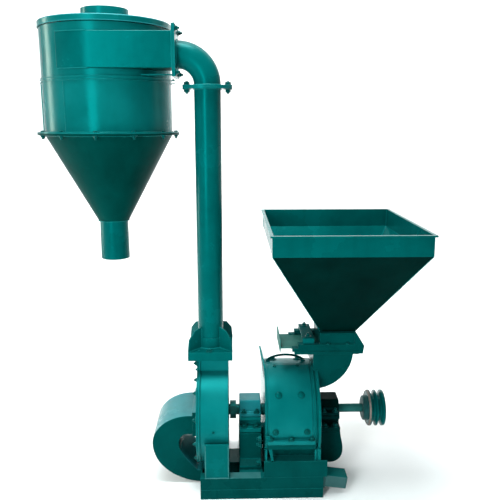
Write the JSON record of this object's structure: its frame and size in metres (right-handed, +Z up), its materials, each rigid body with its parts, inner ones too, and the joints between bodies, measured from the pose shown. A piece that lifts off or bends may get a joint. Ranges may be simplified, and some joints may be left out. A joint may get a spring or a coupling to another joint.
{
  "type": "hammer mill",
  "caption": "Belt-driven hammer mill: square feed hopper and slide gate over a drum with swinging hammers, and a blower on the same shaft that lifts meal up a riser to a cyclone.",
  "frame": {"origin": "middle of the base frame's footprint, on the floor, on the underside of the tie strap", "axes": "+X along the shaft toward the drive pulley, -Y toward the operator's side with the front of the drum, +Z up"},
  "size_m": [1.35, 0.741, 1.707],
  "materials": {
    "enamel": "gloss",
    "dark_enamel": "gloss",
    "steel": "satin",
    "iron": "rough"
  },
  "bodies": {
    "frame": {"base_frame": "enamel", "motor_rail_stub": "enamel", "lower_housing": "dark_enamel", "drum_hood": "enamel", "left_side_plate": "enamel", "side_cover": "enamel", "wear_panel": "enamel", "lift_handle": "enamel", "breaker_liner": "iron", "screen": "steel", "discharge_pan": "dark_enamel", "left_bearing_base": "enamel", "left_bearing_cap": "enamel", "left_bearing_sleeve": "steel", "right_bearing_base": "dark_enamel", "right_bearing_cap": "dark_enamel", "right_bearing_sleeve": "steel", "left_pedestal": "dark_enamel", "right_pedestal": "dark_enamel", "blower_shell": "enamel", "blower_side_plate": "enamel", "blower_leg_front": "enamel", "blower_leg_rear": "enamel", "suction_bend": "dark_enamel", "suction_leg": "dark_enamel", "pipe_foot": "enamel", "riser_pipe": "enamel", "elbow": "enamel", "cyclone_upper_barrel": "enamel", "cyclone_joint_band": "enamel", "cyclone_lower_barrel": "enamel", "cyclone_cone": "enamel", "discharge_spout": "enamel", "cyclone_lid": "enamel", "exhaust_tube": "enamel", "stay_strip": "enamel", "hopper": "enamel", "gate_frame": "enamel", "gate_bridge": "enamel", "feed_chute": "dark_enamel"},
    "rotor": {"main_shaft": "steel", "blower_impeller": "iron", "drive_pulley": "enamel", "rotor_disc_1": "iron", "rotor_disc_2": "iron", "rotor_disc_3": "iron", "rotor_disc_4": "iron", "hammer_pin_1": "steel", "hammer_pin_2": "steel", "hammer_pin_3": "steel", "hammer_pin_4": "steel"},
    "swing_hammer_1": {"hammer_1": "steel"},
    "swing_hammer_2": {"hammer_2": "steel"},
    "swing_hammer_3": {"hammer_3": "steel"},
    "swing_hammer_4": {"hammer_4": "steel"},
    "swing_hammer_5": {"hammer_5": "steel"},
    "swing_hammer_6": {"hammer_6": "steel"},
    "slide": {"slide_gate": "enamel"}
  },
  "joints": [
    {"name": "rotor_spin", "type": "hinge", "parent": "frame", "child": "rotor", "pos_m": [0, 0, 0.243], "axis": [1, 0, 0], "continuous": true},
    {"name": "hammer_swing_1", "type": "hinge", "parent": "rotor", "child": "swing_hammer_1", "pos_m": [0.0575, 0.06505, 0.30805], "axis": [1, 0, 0], "range_deg": [-8, 270]},
    {"name": "hammer_swing_2", "type": "hinge", "parent": "rotor", "child": "swing_hammer_2", "pos_m": [0.0575, -0.06505, 0.17795], "axis": [1, 0, 0], "range_deg": [-188, 98]},
    {"name": "hammer_swing_3", "type": "hinge", "parent": "rotor", "child": "swing_hammer_3", "pos_m": [0.0965, -0.06505, 0.30805], "axis": [1, 0, 0], "range_deg": [-270, 8]},
    {"name": "hammer_swing_4", "type": "hinge", "parent": "rotor", "child": "swing_hammer_4", "pos_m": [0.0965, 0.06505, 0.17795], "axis": [1, 0, 0], "range_deg": [-98, 188]},
    {"name": "hammer_swing_5", "type": "hinge", "parent": "rotor", "child": "swing_hammer_5", "pos_m": [0.1355, 0.06505, 0.30805], "axis": [1, 0, 0], "range_deg": [-8, 270]},
    {"name": "hammer_swing_6", "type": "hinge", "parent": "rotor", "child": "swing_hammer_6", "pos_m": [0.1355, -0.06505, 0.17795], "axis": [1, 0, 0], "range_deg": [-188, 98]},
    {"name": "gate_slide", "type": "slide", "parent": "frame", "child": "slide", "axis": [-1, 0, 0], "range_m": [0, 0.14]}
  ]
}
